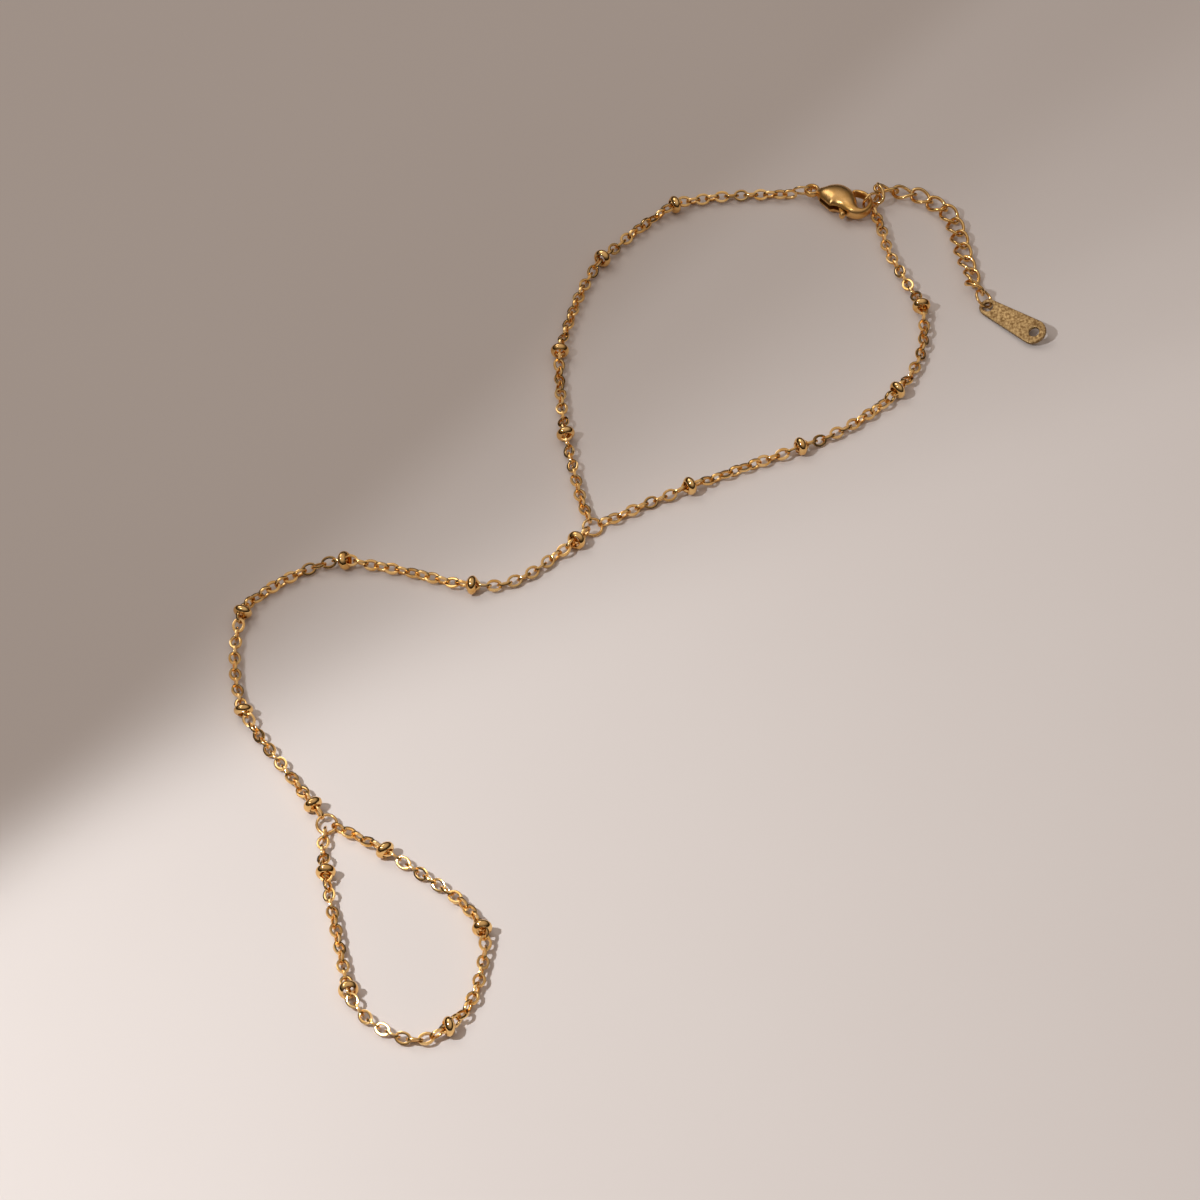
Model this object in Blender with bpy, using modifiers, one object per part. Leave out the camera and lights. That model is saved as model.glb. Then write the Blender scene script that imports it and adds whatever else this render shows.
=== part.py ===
"""A gold hand chain laid flat: wrist loop, hand strand and finger loop with rondelle beads,
closed by a lobster clasp, with an extender chain and a tag. Metres, +Z up, floor at z = 0."""

import math

import bmesh
import bpy
from mathutils import Matrix, Vector

MM = 0.001

# The fine chain, as the round envelope of its links
STRAND_DIAMETER = 1.2 * MM
STRAND_FLOOR_GAP = 0.02 * MM
STRAND_END_GAP = 0.3 * MM
STRAND_POINT_SPACING = 2.8 * MM

# Rondelle beads
BEAD_DIAMETER = 2.35 * MM
BEAD_LENGTH = 1.25 * MM
BEAD_BORE_CLEARANCE = 0.15 * MM
BEAD_SIDES = 12
BEAD_RAMP = 2.4 * MM

# Junction rings, the catch ring and the tag's ring
JUNCTION_RING_DIAMETER = 2.7 * MM
JUNCTION_RING_WIRE = 0.36 * MM
CATCH_RING_DIAMETER = 2.9 * MM
CATCH_RING_WIRE = 0.36 * MM
TAG_RING_DIAMETER = 2.9 * MM
TAG_RING_WIRE = 0.38 * MM
RING_SIDES = 14

# The oval link between the wrist chain and the clasp's eye
END_LINK_LENGTH = 2.6 * MM
END_LINK_WIDTH = 2.1 * MM
END_LINK_WIRE = 0.34 * MM

# Extender links
LINK_LENGTH = 3.5 * MM
LINK_WIDTH = 2.6 * MM
LINK_WIRE = 0.45 * MM
END_LINK_PLAY = 0.22 * MM
LINK_TWIST = math.radians(-48)
LINK_SIDES = 12

# Lobster clasp
CLASP_LENGTH = 9.6 * MM
CLASP_WIDTH = 4.3 * MM
CLASP_THICKNESS = 2.8 * MM
CLASP_TURN = math.radians(-24)
CLASP_SIDES = 14
EYE_DIAMETER = 2.1 * MM
EYE_WIRE = 0.54 * MM
EYE_HEIGHT = 0.86 * MM
LEVER_THICKNESS = 0.42 * MM
LEVER_SIDE_GAP = 0.115 * MM
PIN_DIAMETER = 0.5 * MM
PIN_CLEARANCE = 0.12 * MM
KNOB_DIAMETER = 0.84 * MM
KNOB_THICKNESS = 1.2 * MM

# Tag
TAG_LENGTH = 10.3 * MM
TAG_NARROW_WIDTH = 2.3 * MM
TAG_WIDE_WIDTH = 3.4 * MM
TAG_THICKNESS = 0.45 * MM
TAG_SMALL_HOLE = 1.35 * MM
TAG_LARGE_HOLE = 1.35 * MM
TAG_NARROW_RIM = 0.48 * MM
TAG_WIDE_RIM = 0.85 * MM

# The unit of the laid routes, places and poses below
ROUTE_UNIT = 1.0 * MM

# The middle of the laid chain on the floor, in metres
LAY_CENTRE = Vector((6.30, 2.83, 0.0)) * ROUTE_UNIT

# Places on the floor, in route units
CLASP_EYE_PLACE = (27.83, 72.2)
WRIST_JUNCTION_PLACE = (-0.9, 11.7)
FINGER_JUNCTION_PLACE = (-31.7, -36.1)

# The chosen points of each strand on the floor: x and y in route units, and 1 where a bead sits
ROUTES = {
    "wrist_chain_left": (
        (18.5, 71.9, 0), (13.7, 71.2, 0), (9.8, 69.7, 1), (5.6, 66.0, 0), (0.3, 59.4, 1),
        (-2.3, 53.8, 0), (-4.2, 46.8, 0), (-5.1, 42.2, 1), (-5.1, 37.1, 0), (-4.7, 31.0, 0),
        (-4.3, 27.3, 1), (-3.3, 21.5, 0), (-2.2, 15.6, 0),
    ),
    "wrist_chain_right": (
        (2.5, 13.4, 0), (5.5, 15.3, 0), (11.1, 18.2, 1), (15.0, 20.3, 0), (20.5, 23.0, 0),
        (25.0, 25.1, 1), (28.9, 27.4, 0), (32.9, 30.4, 0), (37.5, 35.1, 1), (40.2, 40.3, 0),
        (41.3, 45.3, 0), (41.2, 50.5, 1), (39.3, 55.9, 0), (37.5, 61.0, 0), (36.7, 65.4, 0),
    ),
    "hand_chain": (
        (-2.9, 8.9, 1), (-5.5, 6.5, 0), (-9.2, 3.1, 0), (-12.5, 1.7, 0), (-15.5, 1.4, 1),
        (-18.5, 2.3, 0), (-22.6, 3.7, 0), (-27.5, 5.0, 0), (-31.1, 5.5, 1), (-34.5, 4.9, 0),
        (-38.6, 2.3, 0), (-41.9, -0.8, 0), (-43.1, -3.0, 1), (-43.7, -7.2, 0), (-43.6, -12.0, 0),
        (-42.9, -16.5, 0), (-42.2, -18.9, 1), (-39.8, -23.3, 0), (-35.4, -30.2, 0),
        (-33.4, -33.6, 1),
    ),
    "finger_chain": (
        (-28.0, -38.2, 0), (-24.8, -40.5, 1), (-21.0, -43.4, 0), (-15.9, -47.9, 0),
        (-13.4, -52.1, 1), (-13.1, -55.6, 0), (-14.2, -61.6, 0), (-16.9, -66.2, 1),
        (-20.8, -67.8, 0), (-25.0, -65.8, 0), (-27.4, -63.0, 0), (-28.3, -61.0, 1),
        (-29.6, -54.3, 0), (-30.6, -49.1, 0), (-31.5, -43.8, 1), (-32.0, -40.0, 0),
    ),
}

# Where the catch ring hangs in the clasp, as shares of its length and width: along, across
CATCH_PLACE = (0.8323, 0.2749)

# Where the loose pieces after the clasp lie: x and y from the catch ring's middle and z over the
# floor, in route units, then the heading on the floor, the rise and the roll of the long axis in
# degrees
LAID_POSES = {
    "catch_ring": (0.00, 0.00, 1.41, 28, -13, -96),
    "extender_link_1": (0.94, 1.51, 1.37, 88, 9, -68),
    "extender_link_2": (2.01, 2.74, 1.07, -10, -2, -33),
    "extender_link_3": (4.38, 2.30, 0.89, -10, -3, -8),
    "extender_link_4": (6.64, 1.47, 0.85, -33, -6, 0),
    "extender_link_5": (8.54, -0.07, 0.81, -42, 2, 4),
    "extender_link_6": (10.07, -1.94, 0.84, -63, -8, 5),
    "extender_link_7": (10.75, -4.27, 0.79, -80, 1, 1),
    "extender_link_8": (11.17, -6.69, 0.84, -82, 1, -3),
    "extender_link_9": (11.49, -9.13, 0.89, -82, 1, -6),
    "extender_link_10": (11.92, -11.55, 0.92, -76, 2, -20),
    "extender_link_11": (12.38, -13.95, 1.01, -88, 2, -34),
    "extender_link_12": (12.72, -16.18, 1.34, -53, 7, -46),
    "tag_ring": (13.72, -18.06, 1.04, 91, 8, 37),
    "tag": (14.21, -19.30, 0.65, -43, 4, 22),
}

# The claw's sections from the eye to the hook's tip, as shares of the clasp's length, width and
# thickness: along, across, half width, half thickness
CLAW_SECTIONS = (
    (0.089, 0.000, 0.116, 0.179),
    (0.130, 0.000, 0.198, 0.286),
    (0.195, -0.007, 0.316, 0.400),
    (0.271, 0.005, 0.430, 0.471),
    (0.354, 0.010, 0.505, 0.500),
    (0.448, -0.035, 0.465, 0.486),
    (0.542, -0.155, 0.342, 0.436),
    (0.620, -0.295, 0.242, 0.380),
    (0.698, -0.378, 0.178, 0.333),
    (0.771, -0.356, 0.128, 0.285),
    (0.825, -0.233, 0.098, 0.250),
    (0.846, -0.047, 0.093, 0.236),
    (0.833, 0.151, 0.088, 0.236),
    (0.776, 0.337, 0.084, 0.236),
    (0.688, 0.437, 0.079, 0.236),
    (0.599, 0.442, 0.072, 0.229),
    (0.552, 0.400, 0.065, 0.214),
)

# Outline of the slot for the lever, as shares of the clasp's length and width: along, across
SLOT_OUTLINE = (
    (0.169, -0.081), (0.156, -0.558), (0.609, -0.744), (0.604, -0.349), (0.596, -0.140),
    (0.646, 0.070), (0.536, 0.360), (0.521, 0.605), (0.323, 0.605), (0.302, 0.209), (0.229, 0.070),
)

# Outline of the lever, from its gate round to its thumb knob: along, across
LEVER_OUTLINE = (
    (0.365, 0.233), (0.396, 0.337), (0.438, 0.386), (0.479, 0.395), (0.526, 0.349), (0.544, 0.302),
    (0.534, 0.249), (0.505, 0.174), (0.472, 0.070), (0.464, -0.023), (0.479, -0.186), (0.531, -0.407),
    (0.569, -0.560), (0.571, -0.652), (0.534, -0.665), (0.503, -0.550), (0.463, -0.380),
    (0.411, -0.198), (0.359, -0.105), (0.349, 0.047),
)
PIVOT_PLACE = (0.406, -0.023)
KNOB_PLACE = (0.564, -0.655)


def clear_scene():
    for old in list(bpy.data.objects):
        bpy.data.objects.remove(old, do_unlink=True)


def make_collection(name):
    collection = bpy.data.collections.new(name)
    bpy.context.scene.collection.children.link(collection)
    return collection


def make_gold(name, colour, roughness):
    """Plated gold as a plain Principled material."""
    material = bpy.data.materials.new(name)
    material.use_nodes = True
    shader = material.node_tree.nodes["Principled BSDF"]
    shader.inputs["Base Color"].default_value = (*colour, 1.0)
    shader.inputs["Metallic"].default_value = 1.0
    shader.inputs["Roughness"].default_value = roughness
    material.diffuse_color = (*colour, 1.0)
    return material


def add_object(name, data, collection, matrix, parent, material=None):
    """Link an object for its data under a parent, placed by a matrix in the parent's frame."""
    piece = bpy.data.objects.new(name, data)
    collection.objects.link(piece)
    piece.parent = parent
    piece.matrix_basis = matrix
    if material:
        data.materials.append(material)
    return piece


def frame_along(place, direction, side=Vector((0, 0, 1))):
    """Matrix with X along a direction, Z as near as can be to a side vector, at a place."""
    x_axis = direction.normalized()
    y_axis = side.cross(x_axis).normalized()
    z_axis = x_axis.cross(y_axis)
    turn = Matrix((x_axis, y_axis, z_axis)).transposed()
    return Matrix.Translation(place) @ turn.to_4x4()


class Route:
    """A smooth curve on the floor through chosen points, measured along its length."""

    STEPS = 12

    def __init__(self, rows):
        anchors = [Vector((row[0], row[1], 0)) * ROUTE_UNIT for row in rows]
        before = anchors[0] * 2 - anchors[1]
        after = anchors[-1] * 2 - anchors[-2]
        line = [before] + anchors + [after]
        self.points = []
        for i in range(1, len(line) - 2):
            for step in range(self.STEPS):
                self.points.append(self.between(line[i - 1:i + 3], step / self.STEPS))
        self.points.append(anchors[-1])
        self.lengths = [0.0]
        for last, point in zip(self.points, self.points[1:]):
            self.lengths.append(self.lengths[-1] + (point - last).length)
        self.total = self.lengths[-1]

    @staticmethod
    def between(four, t):
        """The Catmull-Rom curve between the middle two of four points."""
        p0, p1, p2, p3 = four
        straight = p2 - p0
        bend = p0 * 2 - p1 * 5 + p2 * 4 - p3
        swing = p1 * 3 - p0 - p2 * 3 + p3
        return p1 + (straight * t + bend * t ** 2 + swing * t ** 3) * 0.5

    def anchor_distance(self, index):
        return self.lengths[index * self.STEPS]

    def at(self, distance):
        """The point at a distance along the route, carried on straight past its ends."""
        index = 0
        while index < len(self.lengths) - 2 and self.lengths[index + 1] < distance:
            index += 1
        span = self.lengths[index + 1] - self.lengths[index]
        share = (distance - self.lengths[index]) / span
        return self.points[index].lerp(self.points[index + 1], share)

    def heading(self, distance):
        reach = STRAND_DIAMETER / 2
        return (self.at(distance + reach) - self.at(distance - reach)).normalized()


def strand_height(distance, bead_distances):
    """Height of a strand's axis: on the floor, and lifted to the axis of each bead."""
    rest = STRAND_DIAMETER / 2 + STRAND_FLOOR_GAP
    nearest = min(abs(distance - bead) for bead in bead_distances) - bead_straight()
    share = min(max(nearest / BEAD_RAMP, 0.0), 1.0)
    fall = share * share * (3 - 2 * share)
    return BEAD_DIAMETER / 2 * (1 - fall) + rest * fall


def bead_straight():
    """Half of the straight stretch of strand that runs through a bead."""
    return BEAD_LENGTH / 2 + STRAND_DIAMETER / 8


def strand_stations(start, end, bead_distances):
    """Distances of the strand's points, with two at each bead and the rest spread between."""
    fixed = [start, end]
    for bead in bead_distances:
        fixed += [bead - bead_straight(), bead + bead_straight()]
    fixed = sorted(d for d in fixed if start <= d <= end)
    stations = [fixed[0]]
    for last, following in zip(fixed, fixed[1:]):
        spaces = max(1, math.ceil((following - last) / STRAND_POINT_SPACING))
        stations += [last + (following - last) * (i + 1) / spaces for i in range(spaces)]
    return stations


def make_strand(name, route, stops, bead_distances, collection, parent, material):
    """A tube along a route, stopped short of the rings at its two ends."""
    end = route.total - stops[1]
    curve = bpy.data.curves.new(name, "CURVE")
    curve.dimensions = "3D"
    curve.bevel_depth = STRAND_DIAMETER / 2
    curve.bevel_resolution = 2
    curve.use_fill_caps = True
    stations = strand_stations(stops[0], end, bead_distances)
    spline = curve.splines.new("POLY")
    spline.points.add(len(stations) - 1)
    for point, distance in zip(spline.points, stations):
        place = route.at(distance)
        point.co = (place.x, place.y, strand_height(distance, bead_distances), 1)
    return add_object(name, curve, collection, Matrix(), parent, material)


def bead_profile():
    """Half section of a rondelle bead: a round outside and a wide bore, outer side first."""
    bore = STRAND_DIAMETER / 2 + BEAD_BORE_CLEARANCE
    bulge = (BEAD_DIAMETER / 2 - bore)
    half = BEAD_LENGTH / 2
    angles = [math.radians(a) for a in (90, 62, 35, 12, -12, -35, -62, -90)]
    outside = [(bore + bulge * math.cos(a) ** 0.6, half * math.sin(a)) for a in angles]
    lip = bulge * 0.3
    outside[0] = (bore + lip, half)
    outside[-1] = (bore + lip, -half)
    return outside + [(bore, -half * 0.85), (bore, half * 0.85)]


def make_bead_mesh():
    """The closed half section that each bead's Screw turns round the thread."""
    mesh = bpy.data.meshes.new("rondelle_section")
    profile = bead_profile()
    count = len(profile)
    edges = [(i, (i + 1) % count) for i in range(count)]
    mesh.from_pydata([(x, 0, z) for x, z in profile], edges, [])
    return mesh


def make_bead(name, mesh, place, heading, collection, parent):
    turn = heading.to_track_quat("Z", "Y").to_matrix().to_4x4()
    bead = add_object(name, mesh, collection, Matrix.Translation(place) @ turn, parent)
    screw = bead.modifiers.new("turned", "SCREW")
    screw.steps = BEAD_SIDES
    screw.render_steps = BEAD_SIDES
    screw.use_merge_vertices = True
    screw.merge_threshold = 0.00001
    screw.use_smooth_shade = True
    return bead


def make_loop(name, points, wire, collection, matrix, parent, material):
    """A closed ring or link of round wire through points in its own frame."""
    curve = bpy.data.curves.new(name, "CURVE")
    curve.dimensions = "3D"
    curve.bevel_depth = wire / 2
    curve.bevel_resolution = 1
    spline = curve.splines.new("POLY")
    spline.points.add(len(points) - 1)
    spline.use_cyclic_u = True
    for target, point in zip(spline.points, points):
        target.co = (*point, 1)
    return add_object(name, curve, collection, matrix, parent, material)


def oval_points(length, width, wire, sides, twist=0.0):
    """Centre line of an oval link along X, twisted about X by the same angle at both ends."""
    points = []
    for i in range(sides):
        angle = 2 * math.pi * (i + 0.5) / sides
        along = (length - wire) / 2 * math.cos(angle)
        across = (width - wire) / 2 * math.sin(angle)
        turn = twist * math.cos(angle)
        points.append((along, across * math.cos(turn), across * math.sin(turn)))
    return points


def laid_frame(name):
    """The frame of a loose piece from its row of laid poses, with X along its long axis."""
    x, y, z, heading, rise, roll = LAID_POSES[name]
    turn = Matrix.Rotation(math.radians(heading), 4, "Z")
    turn = turn @ Matrix.Rotation(math.radians(-rise), 4, "Y")
    turn = turn @ Matrix.Rotation(math.radians(roll), 4, "X")
    place = catch_centre() + Vector((x, y, 0)) * ROUTE_UNIT
    place.z = z * ROUTE_UNIT
    return Matrix.Translation(place) @ turn


def catch_centre():
    """The catch ring's middle, in the bend of the clasp's hook."""
    return clasp_frame() @ clasp_point(*CATCH_PLACE)


def loft_sections(name, rings):
    """A closed mesh through rings of equal counts, with a flat cap on each end."""
    model = bmesh.new()
    levels = [[model.verts.new(point) for point in ring] for ring in rings]
    for low, high in zip(levels, levels[1:]):
        count = len(low)
        for i in range(count):
            following = (i + 1) % count
            model.faces.new((low[i], low[following], high[following], high[i]))
    model.faces.new(levels[0])
    model.faces.new(levels[-1])
    bmesh.ops.recalc_face_normals(model, faces=model.faces)
    mesh = bpy.data.meshes.new(name)
    model.to_mesh(mesh)
    model.free()
    return mesh


def clasp_point(along, across):
    """A point of the clasp's plane from shares of its length and width."""
    return Vector((along * CLASP_LENGTH, across * CLASP_WIDTH, 0))


def claw_section(index):
    """Centre, direction and half sizes of one section of the claw."""
    last = CLAW_SECTIONS[max(index - 1, 0)]
    following = CLAW_SECTIONS[min(index + 1, len(CLAW_SECTIONS) - 1)]
    along, across, half_width, half_thickness = CLAW_SECTIONS[index]
    direction = (clasp_point(*following[:2]) - clasp_point(*last[:2])).normalized()
    return (clasp_point(along, across), direction, half_width * CLASP_WIDTH,
            half_thickness * CLASP_THICKNESS)


def claw_rings():
    """Oval sections square to the claw's centre line."""
    rings = []
    for index in range(len(CLAW_SECTIONS)):
        centre, direction, half_width, half_thickness = claw_section(index)
        side = Vector((-direction.y, direction.x, 0))
        ring = []
        for i in range(CLASP_SIDES):
            angle = 2 * math.pi * (i + 0.5) / CLASP_SIDES
            offset = side * half_width * math.cos(angle)
            offset.z = half_thickness * math.sin(angle)
            ring.append(centre + offset)
        rings.append(ring)
    return rings


def flat_outline(name, outline, half_thickness, holes=()):
    """A 2D curve for a flat plate: its outline, its round holes and half its thickness."""
    curve = bpy.data.curves.new(name, "CURVE")
    curve.dimensions = "2D"
    curve.fill_mode = "BOTH"
    curve.extrude = half_thickness
    loops = [outline]
    for centre, diameter, sides in holes:
        loops.append([
            (centre.x + diameter / 2 * math.cos(2 * math.pi * i / sides),
             centre.y + diameter / 2 * math.sin(2 * math.pi * i / sides))
            for i in range(sides)
        ])
    for loop in loops:
        spline = curve.splines.new("POLY")
        spline.points.add(len(loop) - 1)
        spline.use_cyclic_u = True
        for target, point in zip(spline.points, loop):
            target.co = (point[0], point[1], 0, 1)
    return curve


def curve_to_mesh(name, curve):
    """The closed mesh of a curve, with its loose caps welded."""
    holder = bpy.data.objects.new(name, curve)
    bpy.context.scene.collection.objects.link(holder)
    bpy.context.view_layer.update()
    evaluated = holder.evaluated_get(bpy.context.evaluated_depsgraph_get())
    mesh = bpy.data.meshes.new_from_object(evaluated)
    bpy.data.objects.remove(holder, do_unlink=True)
    model = bmesh.new()
    model.from_mesh(mesh)
    bmesh.ops.remove_doubles(model, verts=model.verts, dist=0.000001)
    model.to_mesh(mesh)
    model.free()
    return mesh


def hide_cutter(cutter):
    cutter.hide_render = True
    cutter.display_type = "WIRE"


def combine(piece, other, operation):
    """Join or cut a piece with another by an exact Boolean."""
    modifier = piece.modifiers.new(operation.lower(), "BOOLEAN")
    modifier.operation = operation
    modifier.solver = "EXACT"
    modifier.object = other


def cylinder_mesh(name, diameter, height, sides):
    mesh = bpy.data.meshes.new(name)
    model = bmesh.new()
    bmesh.ops.create_cone(model, cap_ends=True, segments=sides, radius1=diameter / 2,
                          radius2=diameter / 2, depth=height)
    model.to_mesh(mesh)
    model.free()
    return mesh


def torus_mesh(name, diameter, wire, sides, wire_sides):
    """A ring in the XY plane from a torus primitive."""
    bpy.ops.mesh.primitive_torus_add(
        major_segments=sides, minor_segments=wire_sides,
        major_radius=(diameter - wire) / 2, minor_radius=wire / 2)
    holder = bpy.context.object
    mesh = holder.data
    bpy.data.objects.remove(holder, do_unlink=True)
    mesh.name = name
    return mesh


def make_clasp_body(collection, cutters, parent, material):
    """The claw with its eye, slotted for the lever, with the pivot pin across the slot."""
    body = add_object("clasp_body", loft_sections("claw", claw_rings()), collection, Matrix(),
                      parent, material)
    slot_half = LEVER_THICKNESS / 2 + LEVER_SIDE_GAP
    outline = [clasp_point(*row) for row in SLOT_OUTLINE]
    slot_mesh = curve_to_mesh("lever_slot", flat_outline("lever_slot", outline, slot_half))
    slot = add_object("lever_slot", slot_mesh, cutters, Matrix(), parent)
    pin_mesh = cylinder_mesh("pivot_pin", PIN_DIAMETER, CLASP_THICKNESS * 0.75, 10)
    pin = add_object("pivot_pin", pin_mesh, cutters,
                     Matrix.Translation(clasp_point(*PIVOT_PLACE)), parent)
    eye_stretch = Matrix.Diagonal((1, 1, EYE_HEIGHT / EYE_WIRE, 1))
    eye = add_object("clasp_eye", torus_mesh("clasp_eye", EYE_DIAMETER, EYE_WIRE, 16, 8), cutters,
                     eye_stretch, parent)
    for other, operation in ((slot, "DIFFERENCE"), (pin, "UNION"), (eye, "UNION")):
        hide_cutter(other)
        combine(body, other, operation)
    return body


def make_clasp_lever(collection, cutters, parent, material):
    """The gate and thumb arm in one plate on the pivot, with a round thumb knob."""
    pivot = clasp_point(*PIVOT_PLACE)
    outline = [clasp_point(*row) - pivot for row in LEVER_OUTLINE]
    hole = (Vector((0, 0)), PIN_DIAMETER + 2 * PIN_CLEARANCE, 12)
    plate = flat_outline("clasp_lever", outline, LEVER_THICKNESS / 2, [hole])
    lever = add_object("clasp_lever", curve_to_mesh("clasp_lever", plate), collection,
                       Matrix.Translation(pivot), parent, material)
    knob_mesh = cylinder_mesh("thumb_knob", KNOB_DIAMETER, KNOB_THICKNESS, 12)
    knob = add_object("thumb_knob", knob_mesh, cutters,
                      Matrix.Translation(clasp_point(*KNOB_PLACE)), parent)
    hide_cutter(knob)
    combine(lever, knob, "UNION")
    return lever


def tag_hole_distance():
    """Distance from the small hole's centre to the large hole's centre."""
    rims = TAG_NARROW_RIM + TAG_WIDE_RIM
    return TAG_LENGTH - rims - TAG_SMALL_HOLE / 2 - TAG_LARGE_HOLE / 2


def tag_outline():
    """Two end arcs of different radius joined by straight sides, from the small hole's centre."""
    narrow = TAG_NARROW_WIDTH / 2
    wide = TAG_WIDE_WIDTH / 2
    narrow_centre = narrow - TAG_NARROW_RIM - TAG_SMALL_HOLE / 2
    wide_centre = tag_hole_distance() + TAG_LARGE_HOLE / 2 + TAG_WIDE_RIM - wide
    lean = math.asin((wide - narrow) / (wide_centre - narrow_centre))
    outline = []
    for centre, radius, start in ((wide_centre, wide, -90), (narrow_centre, narrow, 90)):
        sweep = 180 + math.degrees(lean) * (2 if start < 0 else -2)
        first = start - math.degrees(lean) * (1 if start < 0 else -1)
        for i in range(11):
            angle = math.radians(first + sweep * i / 10)
            outline.append((centre + radius * math.cos(angle), radius * math.sin(angle)))
    return outline


def make_tag(collection, matrix, parent, material):
    holes = ((Vector((0, 0)), TAG_SMALL_HOLE, 12),
             (Vector((tag_hole_distance(), 0)), TAG_LARGE_HOLE, 14))
    plate = flat_outline("tag", tag_outline(), TAG_THICKNESS / 2, holes)
    return add_object("tag", plate, collection, matrix, parent, material)


def plan(place, height):
    """A floor place in route units as a point at a height in metres."""
    return Vector((place[0] * ROUTE_UNIT, place[1] * ROUTE_UNIT, height))


def clasp_frame():
    turn = Matrix.Rotation(CLASP_TURN, 4, "Z")
    return Matrix.Translation(plan(CLASP_EYE_PLACE, CLASP_THICKNESS / 2)) @ turn


def end_link_frame():
    """The end link stands on edge, with its wire through the clasp's eye."""
    wire_rest = EYE_DIAMETER / 2 - EYE_WIRE - END_LINK_PLAY - END_LINK_WIRE / 2
    reach = (END_LINK_LENGTH - END_LINK_WIRE) / 2 + wire_rest
    heading = Vector((-1.0, 0.02, 0.0)).normalized()
    centre = clasp_frame().translation + heading * reach
    return frame_along(centre, heading, Vector((0, 1, 0.35)))


def ring_frame(centre, normal):
    return Matrix.Translation(centre) @ normal.to_track_quat("Z", "Y").to_matrix().to_4x4()


def make_ring(name, diameter, wire, frame, collection, parent, material):
    points = oval_points(diameter, diameter, wire, RING_SIDES)
    return make_loop(name, points, wire, collection, frame, parent, material)


def build_strands(collection, parent, material):
    """The four fine chains and the beads threaded on them."""
    junction_stop = JUNCTION_RING_DIAMETER / 2 + STRAND_END_GAP
    catch_stop = CATCH_RING_DIAMETER / 2 + 2 * STRAND_END_GAP
    end_link = end_link_frame()
    end_link_place = tuple(end_link.translation.xy / ROUTE_UNIT)
    end_link_stop = END_LINK_LENGTH / 2 + STRAND_END_GAP
    catch_place = tuple(catch_centre().xy / ROUTE_UNIT)
    ends = {
        "wrist_chain_left": (end_link_place, WRIST_JUNCTION_PLACE, end_link_stop, junction_stop),
        "wrist_chain_right": (WRIST_JUNCTION_PLACE, catch_place, junction_stop, catch_stop),
        "hand_chain": (WRIST_JUNCTION_PLACE, FINGER_JUNCTION_PLACE, junction_stop, junction_stop),
        "finger_chain": (FINGER_JUNCTION_PLACE, FINGER_JUNCTION_PLACE, junction_stop,
                         junction_stop),
    }
    bead_mesh = make_bead_mesh()
    bead_mesh.materials.append(material)
    counts = {}
    for name, rows in ROUTES.items():
        first, last, first_stop, last_stop = ends[name]
        rows = ((*first, 0), *rows, (*last, 0))
        route = Route(rows)
        beads = [route.anchor_distance(i) for i, row in enumerate(rows) if row[2]]
        make_strand(name, route, (first_stop, last_stop), beads, collection, parent, material)
        family = name.split("_")[0]
        for distance in beads:
            counts[family] = counts.get(family, 0) + 1
            place = route.at(distance)
            place.z = BEAD_DIAMETER / 2
            make_bead(f"{family}_bead_{counts[family]}", bead_mesh, place,
                      route.heading(distance), collection, parent)


def build_junctions(collection, parent, material):
    height = STRAND_DIAMETER / 2
    rows = (("wrist_junction_ring", WRIST_JUNCTION_PLACE, Vector((0.1, -0.25, 1))),
            ("finger_junction_ring", FINGER_JUNCTION_PLACE, Vector((-0.1, -0.3, 1))))
    for name, place, normal in rows:
        make_ring(name, JUNCTION_RING_DIAMETER, JUNCTION_RING_WIRE,
                  ring_frame(plan(place, height), normal), collection, parent, material)


def build_clasp(collection, cutters, parent, material):
    place = bpy.data.objects.new("clasp_place", None)
    collection.objects.link(place)
    place.parent = parent
    place.matrix_basis = clasp_frame()
    make_clasp_body(collection, cutters, place, material)
    make_clasp_lever(collection, cutters, place, material)
    points = oval_points(END_LINK_LENGTH, END_LINK_WIDTH, END_LINK_WIRE, LINK_SIDES)
    make_loop("clasp_end_link", points, END_LINK_WIRE, collection, end_link_frame(), parent,
              material)
    make_ring("catch_ring", CATCH_RING_DIAMETER, CATCH_RING_WIRE, laid_frame("catch_ring"),
              collection, parent, material)


def build_extender(collection, parent, material, tag_material):
    """The twisted links, the tag's ring and the tag, each as it lies."""
    points = oval_points(LINK_LENGTH, LINK_WIDTH, LINK_WIRE, LINK_SIDES, LINK_TWIST)
    for name in LAID_POSES:
        if name.startswith("extender_link"):
            make_loop(name, points, LINK_WIRE, collection, laid_frame(name), parent, material)
    make_ring("tag_ring", TAG_RING_DIAMETER, TAG_RING_WIRE, laid_frame("tag_ring"), collection,
              parent, material)
    make_tag(collection, laid_frame("tag"), parent, tag_material)


def build():
    clear_scene()
    collection = make_collection("hand_chain_bracelet")
    cutters = make_collection("cutters")
    lay = bpy.data.objects.new("lay", None)
    collection.objects.link(lay)
    lay.location = -LAY_CENTRE
    gold = make_gold("polished_gold", (0.83, 0.56, 0.24), 0.2)
    tag_gold = make_gold("tag_gold", (0.62, 0.42, 0.20), 0.4)
    build_strands(collection, lay, gold)
    build_junctions(collection, lay, gold)
    build_clasp(collection, cutters, lay, gold)
    build_extender(collection, lay, gold, tag_gold)
    bpy.context.view_layer.update()


build()
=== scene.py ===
"""A gold hand chain on a pale floor, dressed with its real links, beads, rings, clasp and tag."""

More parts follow.
